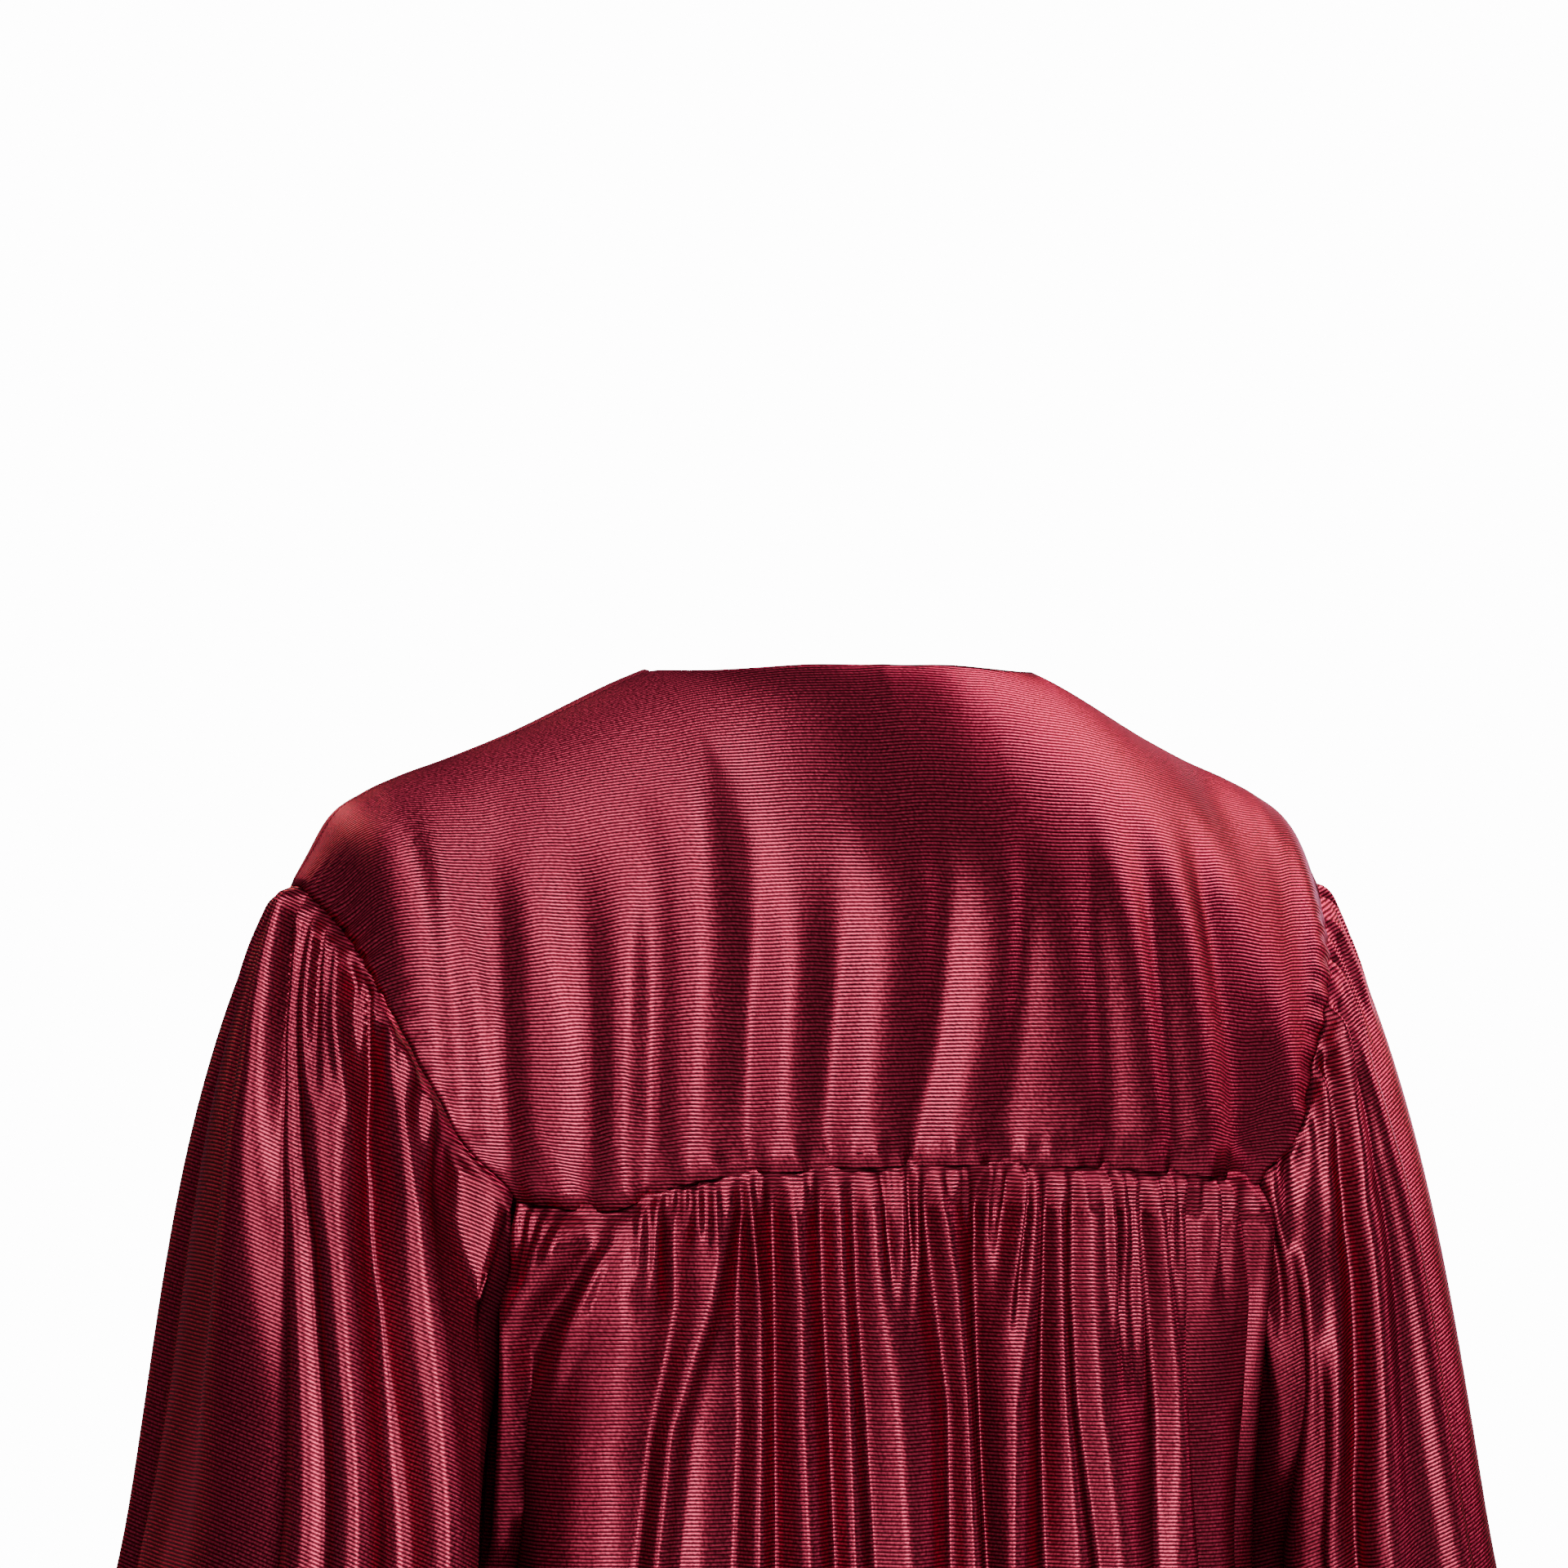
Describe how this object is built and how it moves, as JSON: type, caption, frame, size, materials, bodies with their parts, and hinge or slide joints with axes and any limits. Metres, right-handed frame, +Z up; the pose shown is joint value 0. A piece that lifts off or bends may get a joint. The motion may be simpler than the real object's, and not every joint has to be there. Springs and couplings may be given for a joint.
{
  "type": "graduation gown",
  "caption": "Full-length satin graduation gown with a gathered yoke, bell sleeves and a front zip, hollow and open as it hangs on a wearer.",
  "frame": {"origin": "midway between the two points where the neckline crosses the shoulders, where the wearer holds it up", "axes": "+Z up along the length, +Y towards the wearer's back, +X towards the wearer's left"},
  "size_m": [0.6816, 0.5186, 1.2224],
  "materials": {
    "satin": "shiny maroon satin with a fine rib",
    "zip_tape": "matt maroon woven tape",
    "zip_metal": "maroon enamel"
  },
  "bodies": {
    "gown": {"yoke_back": "satin", "yoke_front_left": "satin", "yoke_front_right": "satin", "back_panel": "satin", "front_panel_left": "satin", "front_panel_right": "satin", "sleeve_left": "satin", "sleeve_right": "satin", "zip_tape": "zip_tape", "zip_slider": "zip_metal"},
    "pull_tab": {"zip_pull": "zip_metal"}
  },
  "joints": [
    {"name": "pull_tab_swing", "type": "hinge", "parent": "gown", "child": "pull_tab", "pos_m": [0, -0.15059, -0.20025], "axis": [-1, 0, 0], "range_deg": [0, 165]}
  ]
}
